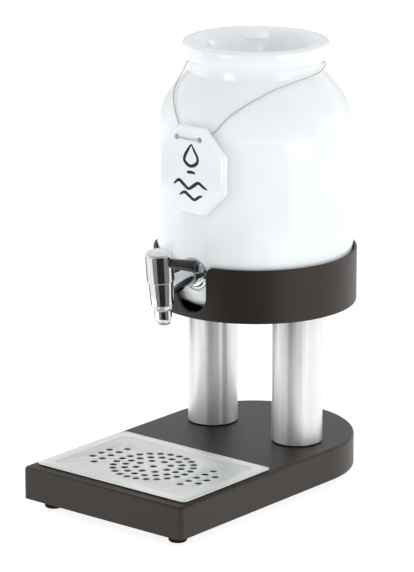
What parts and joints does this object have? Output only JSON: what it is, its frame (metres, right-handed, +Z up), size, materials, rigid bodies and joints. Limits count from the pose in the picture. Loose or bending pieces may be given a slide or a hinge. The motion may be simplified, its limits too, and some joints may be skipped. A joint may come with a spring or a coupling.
{
  "type": "milk dispenser",
  "caption": "Tabletop milk dispenser: porcelain jar with a chrome tap in a banded cradle on steel columns, over a base with a drip tray.",
  "frame": {"origin": "on the table, below the centre of the footprint's bounding box", "axes": "+Z up, +X to the right of a person who faces the tap, -Y towards that person"},
  "size_m": [0.2, 0.334, 0.448],
  "materials": {
    "umber_lacquer": "satin",
    "lacquered_board": "satin lacquer",
    "black_rubber": "matte",
    "zinc_steel": "zinc plated",
    "brushed_stainless": "brushed",
    "chrome_plate": "polished",
    "white_porcelain": "gloss",
    "white_silicone": "matte",
    "black_lever": "gloss",
    "nickel_chain": "nickel plated"
  },
  "bodies": {
    "stand": {"base_plate": "lacquered_board", "foot_front_left": "black_rubber", "foot_front_right": "black_rubber", "foot_rear_left": "black_rubber", "foot_rear_right": "black_rubber", "foot_screws": "zinc_steel", "column_left": "brushed_stainless", "column_right": "brushed_stainless", "column_gaskets": "black_rubber", "column_lower_plugs": "zinc_steel", "column_upper_plugs": "zinc_steel", "column_base_screws": "zinc_steel", "column_base_washers": "zinc_steel", "column_top_screws": "zinc_steel", "cradle_ring": "umber_lacquer", "cradle_floor": "umber_lacquer", "jar_mat": "black_rubber"},
    "drip_pan": {"drip_pan": "brushed_stainless"},
    "drip_grid": {"drip_grid": "brushed_stainless"},
    "jar": {"jar": "white_porcelain", "tap_body": "chrome_plate", "tap_nozzle": "chrome_plate", "tap_flange": "chrome_plate", "tap_outer_gasket": "white_silicone", "tap_inner_gasket": "white_silicone", "tap_washer": "brushed_stainless", "tap_nut": "brushed_stainless", "tag_chain": "nickel_chain", "chain_clasp": "nickel_chain"},
    "tap_handle": {"tap_head": "chrome_plate", "tap_cap": "chrome_plate", "head_screw": "zinc_steel", "tap_lever": "black_lever", "lever_stud": "zinc_steel", "valve_plug": "brushed_stainless", "plug_rings": "white_silicone"},
    "lid": {"lid": "white_porcelain"},
    "tag": {"tag": "white_porcelain"}
  },
  "joints": [
    {"name": "jar_lift", "type": "slide", "parent": "stand", "child": "jar", "axis": [0, 0, 1], "range_m": [0, 0.08]},
    {"name": "lid_lift", "type": "slide", "parent": "jar", "child": "lid", "axis": [0, 0, 1], "range_m": [0, 0.05]},
    {"name": "tap_turn", "type": "hinge", "parent": "jar", "child": "tap_handle", "pos_m": [0, -0.076, 0.21682], "axis": [0, 0.0958, -0.9954], "range_deg": [0, 90]},
    {"name": "tag_swing", "type": "hinge", "parent": "jar", "child": "tag", "pos_m": [0, -0.0341, 0.3575], "axis": [-1, 0, 0], "range_deg": [0, 15]},
    {"name": "drip_pan_lift", "type": "slide", "parent": "stand", "child": "drip_pan", "axis": [0, 0, 1], "range_m": [0, 0.04]},
    {"name": "drip_grid_lift", "type": "slide", "parent": "drip_pan", "child": "drip_grid", "axis": [0, 0, 1], "range_m": [0, 0.04]}
  ]
}
